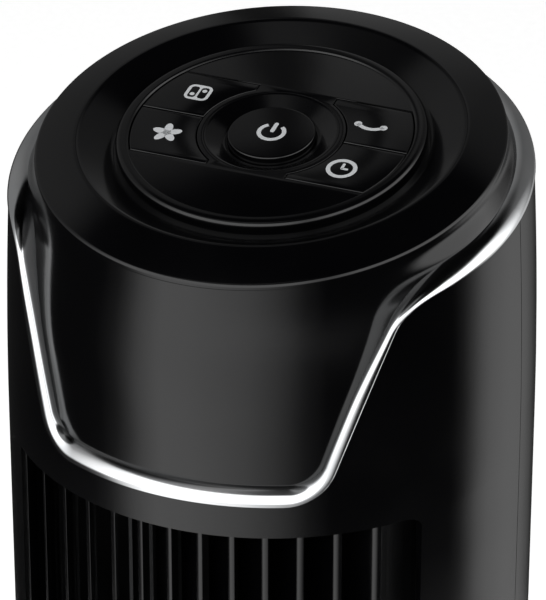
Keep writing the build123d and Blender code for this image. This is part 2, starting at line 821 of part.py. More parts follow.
pieces = {
    "base_cover": base_cover,
    "base_plate": base_plate,
    "base_screws": base_screws,
    "rubber_feet": rubber_feet,
    "ballast_ring": ballast_ring,
    "cord_gland": cord_gland,
    "pivot_post": pivot_post,
    "pivot_nut": pivot_nut,
    "swing_gear": swing_gear,
    "thrust_ring": thrust_ring,
    "turntable": turntable,
    "swing_motor": swing_motor,
    "swing_pinion": swing_pinion,
    "fan_motor": fan_motor,
    "motor_screws": motor_screws,
    "motor_shaft": motor_shaft,
    "lower_deck": lower_deck,
    "cross_flow_wheel": cross_flow_wheel,
    "wheel_pin": wheel_pin,
    "top_bush": top_bush,
    "bearing_holder": bearing_holder,
    "upper_deck": upper_deck,
    "scroll_panel": scroll_panel,
    "tongue_panel": tongue_panel,
    "front_shell": front_shell,
    "rear_shell": rear_shell,
    "handle_cup": handle_cup,
    "trim_strip": trim_strip,
    "head_shell": head_shell,
    "top_ring": top_ring,
    "control_panel": control_panel,
    "control_board": control_board,
    "board_switches": board_switches,
    "board_screws": board_screws,
    "power_button": power_button,
    "speed_key": lambda: key(-1, key_front, key_split),
    "mode_key": lambda: key(-1, key_split, key_back),
    "timer_key": lambda: key(1, key_front, key_split),
    "swing_key": lambda: key(1, key_split, key_back),
}

os.makedirs("parts", exist_ok=True)
for name, make in pieces.items():
    export_step(make(), f"parts/{name}.step")
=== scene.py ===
import json
import math
import bmesh
import bpy
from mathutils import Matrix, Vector


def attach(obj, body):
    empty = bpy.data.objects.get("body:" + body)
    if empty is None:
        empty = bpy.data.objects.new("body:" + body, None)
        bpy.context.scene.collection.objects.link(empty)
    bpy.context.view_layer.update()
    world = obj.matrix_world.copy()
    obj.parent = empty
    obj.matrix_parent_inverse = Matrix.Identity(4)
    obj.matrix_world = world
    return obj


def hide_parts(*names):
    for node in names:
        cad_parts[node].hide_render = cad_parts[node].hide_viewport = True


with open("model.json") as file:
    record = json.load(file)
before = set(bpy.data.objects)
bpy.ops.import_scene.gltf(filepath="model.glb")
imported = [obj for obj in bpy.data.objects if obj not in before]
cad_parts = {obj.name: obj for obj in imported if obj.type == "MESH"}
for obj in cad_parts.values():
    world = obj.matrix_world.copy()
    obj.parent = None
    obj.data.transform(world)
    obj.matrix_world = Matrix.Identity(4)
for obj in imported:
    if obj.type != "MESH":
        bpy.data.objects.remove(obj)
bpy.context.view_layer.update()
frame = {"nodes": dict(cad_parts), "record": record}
print("frame loaded:", len(frame["nodes"]), "CAD nodes")

# Sizes are in millimetres and degrees; makePiece turns them into metres.
mm = 0.001
weld = 0.002  # points nearer than this become one
settleSteps = 8  # rounds in which a point settles on a curved surface

column = {
    "radius": 85.0, "wall": 2.6, "bottom": 46.1,
    "footInset": 5.0, "footFlare": 60.0,
    "shoulder": 811.1, "shoulderInset": 3.0, "shoulderRise": 95.0,
    "seamGap": 0.4, "seamLap": 1.0,
}
head = {
    "height": 906.1, "tilt": 9.4, "radius": 74.2, "setback": 7.8, "wall": 2.6, "tuck": 5.0,
    "ringEdge": 2.0, "wallRows": 16,
    "flare": 3.8, "flareTop": 897.0, "flareFoot": 853.0,
    "sideFlare": 0.62, "sideStart": -52.0, "sideFull": -20.0,
}
shield = {
    "drop": 9.1, "topHalf": 62.8, "bottomHalf": 43.9, "bottom": 825.4,
    "topRound": 13.0, "bottomRound": 10.0, "sampleStep": 1.0,
}

tilt = math.radians(head["tilt"])
sinTilt, cosTilt, tanTilt = math.sin(tilt), math.cos(tilt), math.tan(tilt)


def linear(hexColour):  # sRGB hex to the linear colour that shaders take
    parts = [int(hexColour[i:i + 2], 16) / 255 for i in (1, 3, 5)]
    return tuple(c / 12.92 if c <= 0.04045 else ((c + 0.055) / 1.055) ** 2.4 for c in parts) + (1.0,)


def perMm(size):  # texture scale that gives a pattern this many mm wide
    return 1.0 / (size * mm)


def addNode(tree, kind, settings=None, links=None):
    node = tree.nodes.new(kind)
    for key, value in (settings or {}).items():
        if key == "stops":  # colour ramp: first, last, then those between
            ends = node.color_ramp.elements
            ends[0].position, ends[0].color = value[0]
            ends[1].position, ends[1].color = value[-1]
            for position, colour in value[1:-1]:
                ends.new(position).color = colour
        elif isinstance(key, str) and hasattr(node, key):
            setattr(node, key, value)
        else:
            node.inputs[key].default_value = value
    for key, source in (links or {}).items():
        tree.links.new(source, node.inputs[key])
    return node


def startMaterial(name):
    material = bpy.data.materials.new(name)
    material.use_nodes = True
    material.node_tree.nodes.clear()
    return material, material.node_tree


def finishMaterial(tree, shader):
    addNode(tree, "ShaderNodeOutputMaterial", links={"Surface": shader.outputs[0]})


# Moulded plastics and rubber: colour and shine drift a little over the moulding, long ripples bend
# the reflections, and a grain, drawn coarser than the real one so that it shows, dulls the satin ones.
plastics = {
    "gloss_black_abs": {  # ABS from a polished mould: deep black, mirror-like but softened
        "name": "gloss_black_moulded_abs", "dark": "#030304", "light": "#050506", "ior": 1.53,
        "shine": (0.11, 0.15), "driftMm": 45, "rippleMm": 26, "ripple": 0.012, "grainMm": 1.6, "grain": 0.004,
    },
    "satin_black_abs": {  # ABS from a spark-eroded mould: even charcoal black, wide soft gleam
        "name": "satin_black_moulded_abs", "dark": "#0d0d0e", "light": "#131314", "ior": 1.53,
        "shine": (0.36, 0.46), "driftMm": 30, "rippleMm": 30, "ripple": 0.01, "grainMm": 0.8, "grain": 0.05,
    },
    "dark_wheel_plastic": {  # glass-filled polypropylene: grey-black, dull, faint flow marks
        "name": "glass_filled_polypropylene", "dark": "#141517", "light": "#1d1e20", "ior": 1.49,
        "shine": (0.45, 0.6), "driftMm": 12, "rippleMm": 20, "ripple": 0.02, "grainMm": 0.7, "grain": 0.08,
    },
    "black_rubber": {  # moulded rubber: no gleam, dusty black
        "name": "moulded_black_rubber", "dark": "#131313", "light": "#1f1f1f", "ior": 1.52,
        "shine": (0.75, 0.9), "driftMm": 6, "rippleMm": 10, "ripple": 0.02, "grainMm": 0.6, "grain": 0.15,
    },
    "white_acetal": {  # turned acetal: milk white, waxy
        "name": "turned_white_acetal", "dark": "#dedcd4", "light": "#ecebe5", "ior": 1.48,
        "shine": (0.35, 0.45), "driftMm": 8, "rippleMm": 12, "ripple": 0.01, "grainMm": 0.8, "grain": 0.03,
    },
}
# Metals: detail is how fine the drift and the grain are.
metals = {
    "zinc_steel": {  # zinc-plated steel: pale grey with a faint cloudiness
        "name": "zinc_plated_steel", "dark": "#a3a8ad", "light": "#c2c6ca", "shine": (0.28, 0.42),
        "driftMm": 3, "grainMm": 0.8, "grain": 0.04, "detail": (3.0, 2.0),
    },
    "motor_can": {  # deep-drawn sheet steel: grey, drawn marks, dull sheen
        "name": "drawn_sheet_steel", "dark": "#7d8286", "light": "#9a9fa3", "shine": (0.35, 0.5),
        "driftMm": 9, "grainMm": 1.0, "grain": 0.05, "detail": (3.0, 2.0),
    },
    "grey_casting": {  # sand-cast iron: dark grey, coarse skin
        "name": "sand_cast_iron", "dark": "#3b3c3e", "light": "#58595b", "shine": (0.55, 0.7),
        "driftMm": 7, "grainMm": 1.6, "grain": 0.3, "detail": (3.0, 2.0),
    },
    "chromed_abs": {  # satin chrome on moulded ABS: white where it faces light, a dark mirror beside the head
        "name": "satin_chrome_plated_abs", "dark": "#dfe1e3", "light": "#e8e9ea", "shine": (0.10, 0.14),
        "driftMm": 16, "grainMm": 9, "grain": 0.006, "detail": (2.0, 0.0),
    },
}


def drifting(tree, look, detail):  # colour and roughness that change slowly over the surface
    place = addNode(tree, "ShaderNodeTexCoord").outputs["Object"]
    drift = addNode(tree, "ShaderNodeTexNoise", {"Scale": perMm(look["driftMm"]), "Detail": detail},
                    {"Vector": place})
    stops = [(0.35, linear(look["dark"])), (0.65, linear(look["light"]))]
    colour = addNode(tree, "ShaderNodeValToRGB", {"stops": stops}, {"Fac": drift.outputs["Fac"]})
    low, high = look["shine"]
    shine = addNode(tree, "ShaderNodeMapRange",
                    {"From Min": 0.3, "From Max": 0.7, "To Min": low, "To Max": high},
                    {"Value": drift.outputs["Fac"]})
    return place, {"Base Color": colour.outputs["Color"], "Roughness": shine.outputs["Result"]}


def relief(tree, place, size, strength, detail, under=None):  # unevenness with a pattern this many mm wide
    noise = addNode(tree, "ShaderNodeTexNoise", {"Scale": perMm(size), "Detail": detail}, {"Vector": place})
    links = {"Height": noise.outputs["Fac"]}
    if under:
        links["Normal"] = under
    bump = addNode(tree, "ShaderNodeBump", {"Strength": strength, "Distance": size * mm}, links)
    return bump.outputs["Normal"]


def mouldedPlastic(look):
    material, tree = startMaterial(look["name"])
    place, links = drifting(tree, look, 3.0)
    waves = relief(tree, place, look["rippleMm"], look["ripple"], 0.0)
    links["Normal"] = relief(tree, place, look["grainMm"], look["grain"], 1.0, waves)
    finishMaterial(tree, addNode(tree, "ShaderNodeBsdfPrincipled", {"IOR": look["ior"]}, links))
    return material


def platedMetal(look):
    material, tree = startMaterial(look["name"])
    driftDetail, grainDetail = look["detail"]
    place, links = drifting(tree, look, driftDetail)
    links["Normal"] = relief(tree, place, look["grainMm"], look["grain"], grainDetail)
    finishMaterial(tree, addNode(tree, "ShaderNodeBsdfPrincipled", {"Metallic": 1.0}, links))
    return material


ink = {"dark": "#aeb0b2", "light": "#c4c6c8", "meshMm": 0.35, "shine": 0.5}


def printedInk():  # screen-printed white ink: flat white, the screen's mesh drawn coarse enough to show
    material, tree = startMaterial("screen_printed_white_ink")
    place = addNode(tree, "ShaderNodeTexCoord").outputs["Object"]
    mesh = addNode(tree, "ShaderNodeTexVoronoi", {"Scale": perMm(ink["meshMm"])}, {"Vector": place})
    stops = [(0.0, linear(ink["light"])), (1.0, linear(ink["dark"]))]
    colour = addNode(tree, "ShaderNodeValToRGB", {"stops": stops}, {"Fac": mesh.outputs["Distance"]})
    shader = addNode(tree, "ShaderNodeBsdfPrincipled", {"Roughness": ink["shine"]},
                     {"Base Color": colour.outputs["Color"]})
    finishMaterial(tree, shader)
    return material


board = {"mask": "#174a2b", "track": "#2c7044", "fieldMm": 24.0, "trackWidth": 0.03, "shine": 0.35}


def circuitBoard():  # glass-epoxy board under green mask: tracks show as paler lines between the fields
    material, tree = startMaterial("masked_glass_epoxy")
    place = addNode(tree, "ShaderNodeTexCoord").outputs["Object"]
    mask = linear(board["mask"])
    track = addNode(tree, "ShaderNodeTexBrick",
                    {"Scale": perMm(board["fieldMm"]), "Color1": mask, "Color2": mask,
                     "Mortar": linear(board["track"]), "Mortar Size": board["trackWidth"]},
                    {"Vector": place})
    shader = addNode(tree, "ShaderNodeBsdfPrincipled", {"Roughness": board["shine"]},
                     {"Base Color": track.outputs["Color"]})
    finishMaterial(tree, shader)
    return material


finishes = {slot: mouldedPlastic(look) for slot, look in plastics.items()}
finishes.update({slot: platedMetal(look) for slot, look in metals.items()})
finishes["circuit_board"] = circuitBoard()
whiteInk = printedInk()
print("materials made:", len(finishes) + 1)


def dressNodes():  # CAD nodes that stay get their slot's finish
    for row in frame["record"]["subparts"]:
        mesh = frame["nodes"][row["node"]].data
        mesh.materials.clear()
        mesh.materials.append(finishes[row["material_slot"]])


def makePiece(name, shape, body="column", slot="gloss_black_abs", nodes=(), sharp=32):
    points, faces = shape
    mesh = bpy.data.meshes.new(name)
    mesh.from_pydata([tuple(c * mm for c in point) for point in points], [], faces)
    work = bmesh.new()
    work.from_mesh(mesh)
    bmesh.ops.remove_doubles(work, verts=work.verts, dist=weld * mm)
    bmesh.ops.dissolve_degenerate(work, edges=work.edges, dist=weld * mm)
    bmesh.ops.recalc_face_normals(work, faces=work.faces)
    work.to_mesh(mesh)
    work.free()
    for face in mesh.polygons:
        face.use_smooth = True
    mesh.set_sharp_from_angle(angle=math.radians(sharp))
    mesh.materials.append(finishes[slot] if slot else whiteInk)
    piece = bpy.data.objects.new(name, mesh)
    bpy.context.scene.collection.objects.link(piece)
    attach(piece, body)
    if nodes:
        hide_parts(*nodes)


def loft(loops, closed=True, across=False):  # quads between rows; across joins the last row to the first
    count = len(loops[0])
    points = [point for loop in loops for point in loop]
    rows = len(loops) if across else len(loops) - 1
    columns = count if closed else count - 1
    faces = []
    for row in range(rows):
        low, high = row * count, (row + 1) % len(loops) * count
        for i in range(columns):
            j = (i + 1) % count
            faces.append((low + i, low + j, high + j, high + i))
    return points, faces


def joined(*shapes):
    points, faces = [], []
    for shapePoints, shapeFaces in shapes:
        faces += [tuple(i + len(points) for i in face) for face in shapeFaces]
        points += shapePoints
    return points, faces


def roundAngles(count):  # once round in even steps
    return [2 * math.pi * i / count for i in range(count)]


def cornerRound(corner, before, after, cut, steps):  # curve from cut mm before a corner to as far after it
    start = corner + (before - corner).normalized() * cut
    end = corner + (after - corner).normalized() * cut
    shares = [step / steps for step in range(steps + 1)]
    return [tuple(start * (1 - t) ** 2 + corner * 2 * t * (1 - t) + end * t ** 2) for t in shares]


def softened(corners, steps=4):  # (a, b, cut): each corner is rounded from cut mm before it
    outline = []
    for index, (a, b, cut) in enumerate(corners):
        if not cut:
            outline.append((a, b))
            continue
        before = Vector(corners[index - 1][:2])
        after = Vector(corners[(index + 1) % len(corners)][:2])
        outline += cornerRound(Vector((a, b)), before, after, cut, steps)
    return outline


def headPoint(u, v, w):  # from the tilted head's own directions
    return (u, v * cosTilt - w * sinTilt, head["height"] + v * sinTilt + w * cosTilt)


def headCircle(radius, height, segments):
    return [headPoint(radius * math.cos(a), radius * math.sin(a), height) for a in roundAngles(segments)]


def turned(outline, segments):  # closed (radius, height) outline, turned round the head's axis
    return loft([headCircle(radius, height, segments) for radius, height in outline], across=True)


def radiusAt(z):  # column radius: drawn in at the foot and towards the head
    radius = column["radius"]
    flareTop = column["bottom"] + column["footFlare"]
    if z < flareTop:
        bend = (column["footFlare"] ** 2 + column["footInset"] ** 2) / (2 * column["footInset"])
        return radius - bend + math.sqrt(bend ** 2 - (flareTop - z) ** 2)
    if z > column["shoulder"]:
        bend = (column["shoulderRise"] ** 2 + column["shoulderInset"] ** 2) / (2 * column["shoulderInset"])
        return radius - bend + math.sqrt(bend ** 2 - (z - column["shoulder"]) ** 2)
    return radius


def tiltedHeight(y, v):  # height of a point of a plane that lies parallel to the head's rim
    return head["height"] + v / cosTilt + y * tanTilt


def arc(centre, radius, start, end, step):
    count = max(2, round(abs(end - start) * radius / step))
    angles = [start + (end - start) * i / count for i in range(count + 1)]
    return [(centre[0] + radius * math.cos(a), centre[1] + radius * math.sin(a), math.cos(a), math.sin(a))
            for a in angles]


def shieldHalf():
    # Right half of the shield line, seen along the tilt, from the head's side to the middle:
    # (across, up, outward across, outward up)
    forward = math.sqrt(column["radius"] ** 2 - shield["bottomHalf"] ** 2)
    fall = (head["height"] - shield["bottom"]) * cosTilt
    low, middle = forward * sinTilt - fall, column["radius"] * sinTilt - fall
    rise = middle - low
    bowRadius = (shield["bottomHalf"] ** 2 + rise ** 2) / (2 * rise)
    bowCentre = Vector((0, middle - bowRadius))
    top = Vector((shield["topHalf"], -shield["drop"]))
    bottom = Vector((shield["bottomHalf"], low))
    leg = (bottom - top).normalized()
    outward = Vector((-leg.y, leg.x))
    turn = math.acos(-leg.x)  # from the level run into the leg
    reach = shield["topRound"] * math.tan(turn / 2)
    topCentre = (top.x + reach, top.y - shield["topRound"])
    legAngle = math.atan2(-outward.y, -outward.x) % (2 * math.pi)
    bend = [(x, y, -nx, -ny) for x, y, nx, ny in
            arc(topCentre, shield["topRound"], math.pi / 2, legAngle, shield["sampleStep"])]
    # round between the leg and the bowed lower edge
    start = bottom - outward * shield["bottomRound"] - bowCentre
    along = start.dot(leg)
    far = bowRadius + shield["bottomRound"]
    slide = -along - math.sqrt(along ** 2 - start.length_squared + far ** 2)
    lowCentre = bowCentre + start + leg * slide
    toBow = (bowCentre - lowCentre).normalized()
    fromAngle = math.atan2(outward.y, outward.x)
    toAngle = math.atan2(toBow.y, toBow.x)
    lowBend = arc(lowCentre, shield["bottomRound"], fromAngle, toAngle, shield["sampleStep"])
    legStart, legEnd = Vector(bend[-1][:2]), Vector(lowBend[0][:2])
    count = max(2, round((legEnd - legStart).length / shield["sampleStep"]))
    run = [(*legStart.lerp(legEnd, i / count), outward.x, outward.y) for i in range(1, count)]
    bowEnd = Vector(lowBend[-1][:2]) - bowCentre
    bow = [(x, y, -nx, -ny) for x, y, nx, ny in
           arc(bowCentre, bowRadius, math.atan2(bowEnd.y, bowEnd.x), math.pi / 2, shield["sampleStep"])]
    return bend + run + lowBend + bow[1:]


shieldSamples = shieldHalf()
shieldFront = [(-u, v, -nu, nv) for u, v, nu, nv in shieldSamples] + shieldSamples[-2::-1]
seamAngle = math.degrees(column["seamGap"] / 2 / column["radius"])
sideSteps = 22


def onLine(across, up, radiusOf):  # point of the front, seen along the tilt, on a surface of this radius
    y, z = -head["radius"], head["height"]
    for _ in range(settleSteps):
        y = -math.sqrt(radiusOf(z, y) ** 2 - across ** 2)
        z = tiltedHeight(y, up)
    return (across, y, z)


def onRim(angle, up, radiusOf):  # point at an angle counted from the right-hand side to the rear
    y, z = head["radius"] * math.sin(math.radians(angle)), head["height"]
    for _ in range(settleSteps):
        radius = radiusOf(z, y)
        x, y = radius * math.cos(math.radians(angle)), radius * math.sin(math.radians(angle))
        z = tiltedHeight(y, up)
    return (x, y, z)


grip = {
    "width": 92.0, "height": 34.0, "corner": 9.0, "depth": 26.0, "wall": 2.2, "middle": 842.1, "gap": 0.3,
    "edgeSoft": 0.4, "lipSoft": 0.5, "floorSoft": 3.0, "floorBend": 0.3, "leastCorner": 0.5,
    "cornerSteps": 8, "levelSteps": 12,
}
gripTangent = math.degrees(math.acos((grip["width"] / 2 - grip["corner"]) / radiusAt(grip["middle"])))
gripStep = 63  # the step of the rear's angles that moves to where the grip's corner starts
rearAngles = [seamAngle] + [float(a) for a in range(1, 180, 2)] + [180 - seamAngle]
rearAngles[rearAngles.index(gripStep)] = gripTangent
rearAngles[rearAngles.index(180 - gripStep)] = 180 - gripTangent


def shieldLoop(radiusOf, grow, up=None):
    # Once round the head along the shield line, grown outward; with up given, along a plane instead
    level = -shield["drop"] - grow if up is None else up
    front = []
    for u, v, nu, nv in shieldFront:
        front.append(onLine(u + grow * nu, v + grow * nv if up is None else up, radiusOf))
    startAngle = math.degrees(math.atan2(front[-1][1], front[-1][0]))
    side = [startAngle + (-seamAngle - startAngle) * i / sideSteps for i in range(1, sideSteps + 1)]
    right = [onRim(a, level, radiusOf) for a in side]
    left = [(-x, y, z) for x, y, z in reversed(right)]
    rear = [onRim(a, level, radiusOf) for a in rearAngles]
    return left + front + right + rear


frontCount = len(shieldFront) + 2 * sideSteps
print("shield line:", frontCount, "points over the front")

trim = {
    "height": 3.2, "proud": 0.35, "gap": 0.15, "fit": 0.3, "soft": 0.2, "seam": 0.05, "rise": 1.3,
    "steps": 14,
}


def inward(inset):  # radius of the column's surface, drawn in
    return lambda z, y: radiusAt(z) - inset


def eased(t):  # from 0 to 1 with level ends
    t = min(max(t, 0.0), 1.0)
    return t * t * (3 - 2 * t)


def flareAt(z, y):  # 0 at the head's rim, 1 at the foot of its front, less at the foot of its low sides
    front = eased((head["flareTop"] - z) / (head["flareTop"] - head["flareFoot"]))
    depth = (head["height"] + y * tanTilt - z) * cosTilt
    side = head["sideFlare"] * eased((depth - head["ringEdge"]) / (shield["drop"] - head["ringEdge"]))
    share = eased((y - head["sideStart"]) / (head["sideFull"] - head["sideStart"]))
    return front + max(side - front, 0.0) * share


def headLine(gap=0.0):  # radius of the head's wall, which runs out towards its foot
    return lambda z, y: radiusAt(z) - head["setback"] + head["flare"] * flareAt(z, y) + gap


def between(inner, outer, share):  # radius part of the way from one line out to another
    return lambda z, y: inner(z, y) + (outer(z, y) - inner(z, y)) * share


def trimStrip():
    height, soft, proud = trim["height"], trim["soft"], trim["proud"]
    inner, outer = headLine(trim["seam"]), inward(-proud)
    loops = []
    for step in range(trim["steps"] + 1):  # rounds over from the head's wall to the housing
        a = math.pi / 2 * step / trim["steps"]
        line = between(inner, outer, math.sin(a))
        fall = (height - soft) * (1 - math.cos(a))
        level = shieldLoop(line, fall)
        lifted = shieldLoop(line, fall - trim["rise"] * math.cos(a))
        loops.append([tuple(Vector(p).lerp(Vector(q), flareAt(p[2], p[1]))) for p, q in zip(level, lifted)])
    loops.append(shieldLoop(inward(soft - proud), height))
    loops.append(shieldLoop(inner, height))
    return loft(loops, across=True)


def headShell():
    outer = headLine()
    below = trim["height"] + trim["gap"]
    topOuter = shieldLoop(outer, 0.0, -head["ringEdge"])
    footOuter = shieldLoop(outer, below)
    rows = head["wallRows"]
    wall = []
    for row in range(rows):  # the wall follows the column's curve
        loop = []
        for top, foot in zip(topOuter, footOuter):
            x, y, z = Vector(top).lerp(Vector(foot), row / rows)
            scale = outer(z, y) / math.hypot(x, y)
            loop.append((x * scale, y * scale, z))
        wall.append(loop)
    under = inward(column["wall"] + trim["fit"])
    tucked = shieldLoop(outer, head["tuck"])
    ledge = [footOuter, shieldLoop(under, below), shieldLoop(under, head["tuck"]), tucked]
    thin = 1 - head["wall"] / head["radius"]
    inside = [[(x * thin, y * thin, z) for x, y, z in loop] for loop in (tucked, topOuter)]
    return loft(wall + ledge + inside, across=True)


ring = {
    "crest": 61.3, "crestHeight": 3.6, "crestSoft": 1.3,
    "trough": 50.6, "troughDepth": 2.4, "troughSoft": 0.8,
    "seat": 46.5, "wall": 2.4, "inside": 68.9, "edgeSoft": 0.9,
    "segments": 240, "softSteps": 6, "edgeSteps": 5,
}


def topRing():
    slope = ring["crestHeight"] / (head["radius"] - ring["crest"])
    segments = ring["segments"]

    def atWall(heightOf):  # where a surface of the ring meets the head wall
        loop = []
        for a in roundAngles(segments):
            r = head["radius"]
            for _ in range(settleSteps):
                x, y, z = headPoint(r * math.cos(a), r * math.sin(a), heightOf(r))
                r *= (radiusAt(z) - head["setback"]) / math.hypot(x, y)
            loop.append(headPoint(r * math.cos(a), r * math.sin(a), heightOf(r)))
        return loop

    corner = atWall(lambda r: ring["crestHeight"] - (r - ring["crest"]) * slope)
    foot = atWall(lambda r: -head["ringEdge"])
    upper = softened([(ring["seat"], -ring["troughDepth"], 0),
                      (ring["trough"], -ring["troughDepth"], ring["troughSoft"]),
                      (ring["crest"], ring["crestHeight"], ring["crestSoft"]),
                      (head["radius"], 0.0, 0)], ring["softSteps"])[:-1]
    loops = [headCircle(r, h, segments) for r, h in upper]
    edges = [cornerRound(Vector(c), Vector(top), Vector(low), ring["edgeSoft"], ring["edgeSteps"])
             for c, top, low in zip(corner, loops[-1], foot)]
    loops += zip(*edges)  # rounded edge between the bevel and the wall
    loops.append(foot)
    under = [(ring["inside"], -head["ringEdge"]), (ring["crest"], ring["crestHeight"] - ring["wall"]),
             (ring["trough"] + ring["wall"] / 2, -ring["troughDepth"] - ring["wall"]),
             (ring["seat"], -ring["troughDepth"] - ring["wall"])]
    loops += [headCircle(r, h, segments) for r, h in under]
    return loft(loops, across=True)


panel = {
    "radius": 49.2, "top": 2.2, "plate": 2.2, "plateSoft": 0.2, "wall": 2.0,
    "rimRise": 0.5, "rimSoft": 2.0, "rimInnerSoft": 0.25, "plateLap": 0.2,
    "keyOuter": 45.0, "keyInner": 23.4, "keyFront": -22.0, "keySplit": 1.2, "keyBack": 23.0, "keyEdge": 13.0,
    "gap": 0.3, "keySoft": 0.5, "keyFoot": -1.6,
    "dish": 20.8, "dishDepth": 3.1, "dishLip": 1.1, "dishPlate": 2.0, "dishLand": 0.6, "dishSoft": 0.5,
    "holeSoft": 0.2, "rimSegments": 180, "dishSegments": 144, "plateSegments": 160,
}
power = {
    "radius": 13.9, "top": 2.0, "soft": 0.7, "softSteps": 5, "flangeLap": 1.2, "flangeGap": 0.1,
    "flangeHeight": 1.5, "stem": 2.2, "foot": -5.3, "segments": 120,
}
onAxis = 0.01  # radius that stands for the axis itself


def keyOutline(side, front, back, gap):
    outer, inner = panel["keyOuter"] - gap, panel["keyInner"] + gap
    edge = panel["keyEdge"] + gap
    low, high = front + gap, back - gap

    def bow(radius, start, end, steps=20):
        a, b = math.asin(start / radius), math.asin(end / radius)
        return [(radius * math.cos(a + (b - a) * i / steps), radius * math.sin(a + (b - a) * i / steps))
                for i in range(steps + 1)]

    def innerEnd(height):  # inner arc, or the straight edge beside the middle line where that is farther out
        limit = math.sqrt(inner ** 2 - edge ** 2)
        return max(-limit, min(limit, height))

    points = bow(outer, low, high)
    if high > innerEnd(high):
        points.append((edge, high))
    points += bow(inner, innerEnd(high), innerEnd(low))
    if low < innerEnd(low):
        points.append((edge, low))
    return [(side * x, y) for x, y in points]


def circle(x, y, radius, steps=20):
    return [(x + radius * math.cos(a), y + radius * math.sin(a)) for a in roundAngles(steps)]


def flatShape(outlines, low, high, soft):
    # Plate with these outlines, holes among them, between two heights, its edges rounded
    curve = bpy.data.curves.new("outline", "CURVE")
    curve.dimensions = "2D"
    curve.fill_mode = "BOTH"
    curve.extrude = (high - low) / 2 - soft
    curve.bevel_depth = soft
    curve.bevel_resolution = 2
    curve.offset = -soft
    for outline in outlines:
        spline = curve.splines.new("POLY")
        spline.points.add(len(outline) - 1)
        for point, (x, y) in zip(spline.points, outline):
            point.co = (x, y, 0, 1)
        spline.use_cyclic_u = True
    carrier = bpy.data.objects.new("outline", curve)
    bpy.context.scene.collection.objects.link(carrier)
    mesh = bpy.data.meshes.new_from_object(carrier.evaluated_get(bpy.context.evaluated_depsgraph_get()))
    middle = (high + low) / 2
    points = [headPoint(v.co.x, v.co.y, v.co.z + middle) for v in mesh.vertices]
    faces = [tuple(face.vertices) for face in mesh.polygons]
    bpy.data.meshes.remove(mesh)
    bpy.data.objects.remove(carrier)
    bpy.data.curves.remove(curve)
    return points, faces


def controlPanel():
    top, outer, radius = panel["top"], panel["keyOuter"], panel["radius"]
    rimTop = top + panel["rimRise"]
    under = top - panel["plate"]
    rim = softened([(radius, -ring["troughDepth"], 0), (radius, rimTop, panel["rimSoft"]),
                    (outer + panel["rimRise"], rimTop, panel["rimInnerSoft"]), (outer, top, 0),
                    (outer, under, 0), (radius - panel["wall"], under, 0),
                    (radius - panel["wall"], -ring["troughDepth"], 0)])
    hole = power["radius"] + panel["gap"]
    floor = top - panel["dishDepth"]
    foot = hole + panel["dishLip"]
    land = panel["dish"] + panel["dishLand"]
    dish = softened([(land, top, 0), (panel["dish"], top, panel["dishSoft"]),
                     (foot, floor, panel["dishSoft"]), (hole, floor, panel["holeSoft"]),
                     (hole, floor - panel["dishPlate"], 0),
                     (foot + panel["dishPlate"], floor - panel["dishPlate"], 0), (land, under, 0)])
    openings = [keyOutline(side, panel["keyFront"], panel["keyBack"], 0.0) for side in (-1, 1)]
    edges = [circle(0.0, 0.0, edge, panel["plateSegments"]) for edge in (outer + panel["plateLap"], land)]
    plate = flatShape(edges + openings, under, top, panel["plateSoft"])
    return joined(turned(rim, panel["rimSegments"]), turned(dish, panel["dishSegments"]), plate)


def pushKey(side, front, back):
    outline = keyOutline(side, front, back, panel["gap"])
    return flatShape([outline], panel["keyFoot"], panel["top"], panel["keySoft"])


def powerButton():
    radius, top = power["radius"], power["top"]
    flangeTop = panel["top"] - panel["dishDepth"] - panel["dishPlate"] - power["flangeGap"]
    flangeFoot = flangeTop - power["flangeHeight"]
    flange = radius + panel["gap"] + power["flangeLap"]
    outline = softened([(onAxis, top, 0), (radius, top, power["soft"]), (radius, flangeTop, 0),
                        (flange, flangeTop, 0), (flange, flangeFoot, 0), (power["stem"], flangeFoot, 0),
                        (power["stem"], power["foot"], 0), (onAxis, power["foot"], 0)], power["softSteps"])
    return turned(outline, power["segments"])


grille = {
    "halfWidth": 70.0, "bottom": 168.1, "top": 811.1, "corner": 4.0, "cornerSteps": 6, "lap": 0.2,
    "pitch": 10.0, "thickness": 1.8, "depth": 13.0, "slant": 36.0, "bow": 0.7, "round": 2.8, "edge": 0.3,
    "bladeSteps": 8, "softSteps": 6,
    "braces": 4, "braceHeight": 2.4, "braceWidth": 3.0, "braceSteps": 40,
}
footSteps = 12


def patch(rows):  # grid of points, each row of them the same length
    return loft(rows, closed=False)


def columnPoint(angle, z):  # angle from the right-hand side to the rear
    radius = radiusAt(z)
    return (radius * math.cos(math.radians(angle)), radius * math.sin(math.radians(angle)), z)


def footRows():
    return [column["bottom"] + column["footFlare"] * i / footSteps for i in range(footSteps + 1)]


def thickened(shape, wall):  # wall inside a sheet on the column, closed along its edges
    points, faces = shape
    work = bmesh.new()
    verts = [work.verts.new(point) for point in points]
    for face in faces:
        work.faces.new([verts[i] for i in face])
    bmesh.ops.remove_doubles(work, verts=work.verts, dist=2 * weld)
    work.verts.index_update()
    points = [tuple(v.co) for v in work.verts]
    faces = [tuple(v.index for v in face.verts) for face in work.faces]
    rims = [tuple(v.index for v in edge.verts) for edge in work.edges if len(edge.link_faces) == 1]
    work.free()
    count = len(points)
    inner = []
    for x, y, z in points:  # the side joints run aslant, so no light shows through them
        scale = 1 - wall / math.hypot(x, y)
        lap = column["seamLap"] if abs(y) < column["seamGap"] else 0.0
        inner.append((x * scale, y * scale + lap, z))
    backs = [tuple(i + count for i in reversed(face)) for face in faces]
    sides = [(a, b, b + count, a + count) for a, b in rims]
    return points + inner, faces + backs + sides


def interpolated(angle, columns):  # height of the shell's upper edge at an angle
    for (a, low), (b, high) in zip(columns, columns[1:]):
        if a <= angle <= b:
            return low + (high - low) * (angle - a) / (b - a)


